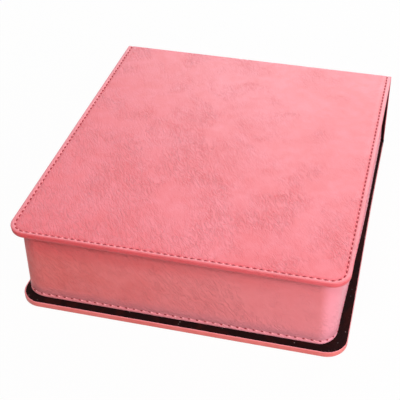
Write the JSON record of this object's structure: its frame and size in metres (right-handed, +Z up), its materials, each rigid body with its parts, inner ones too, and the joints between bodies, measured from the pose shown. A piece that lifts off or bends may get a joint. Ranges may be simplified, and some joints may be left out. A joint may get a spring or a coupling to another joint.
{
  "type": "leather jewellery case",
  "caption": "Low square jewellery case: a flat leather-covered base with a divided velvet insert, under a deep stitched cap lid that swings up on a leather spine.",
  "frame": {"origin": "centre of the closed case's footprint, on the surface that it stands on", "axes": "+X to the case's right as seen from the front, +Y from the front edge to the hinged spine, +Z up"},
  "size_m": [0.22, 0.246, 0.065],
  "materials": {
    "pink_leather": "soft semi-matt pink leather with a fine grain",
    "frame_leather": "the same pink leather, skived thin",
    "black_suede": "black suede, napped",
    "velvet_board": "pressed board covered in black velvet",
    "padded_velvet": "foam covered in black velvet",
    "greyboard": "pressed greyboard, hidden",
    "magnet_steel": "nickel-plated bar magnet, hidden",
    "mirror": "polished"
  },
  "bodies": {
    "base": {"base_leather": "pink_leather", "base_board": "greyboard", "base_lining": "black_suede", "base_magnets": "magnet_steel", "hinge_leather": "pink_leather", "insert_floor": "velvet_board", "insert_front_wall": "velvet_board", "insert_rear_wall": "velvet_board", "insert_left_wall": "velvet_board", "insert_right_wall": "velvet_board", "divider_front": "velvet_board", "divider_rear": "velvet_board", "divider_ring_left": "velvet_board", "divider_ring_right": "velvet_board", "divider_small_left": "velvet_board", "divider_small_right": "velvet_board", "divider_middle_left": "velvet_board", "divider_middle_right": "velvet_board", "ring_bed": "padded_velvet", "rear_pad": "padded_velvet", "ring_roll_1": "padded_velvet", "ring_roll_2": "padded_velvet", "ring_roll_3": "padded_velvet", "ring_roll_4": "padded_velvet", "small_pad_1": "padded_velvet", "small_pad_2": "padded_velvet", "small_pad_3": "padded_velvet", "small_pad_4": "padded_velvet", "middle_pad_1": "padded_velvet", "middle_pad_2": "padded_velvet", "middle_pad_3": "padded_velvet"},
    "lid": {"lid_leather": "pink_leather", "lid_board": "greyboard", "lid_lining": "black_suede", "spine_leather": "pink_leather", "spine_board": "greyboard", "spine_lining": "black_suede", "front_wall_board": "greyboard", "left_wall_board": "greyboard", "right_wall_board": "greyboard", "rear_wall_board": "greyboard", "left_corner_board": "greyboard", "right_corner_board": "greyboard", "wall_leather": "pink_leather", "wall_lining": "black_suede", "mirror_glass": "mirror", "mirror_frame": "frame_leather", "lid_magnets": "magnet_steel"}
  },
  "joints": [
    {"name": "lid_hinge", "type": "hinge", "parent": "base", "child": "lid", "pos_m": [0, 0.12045, 0.00255], "axis": [-1, 0, 0], "range_deg": [0, 90]}
  ]
}
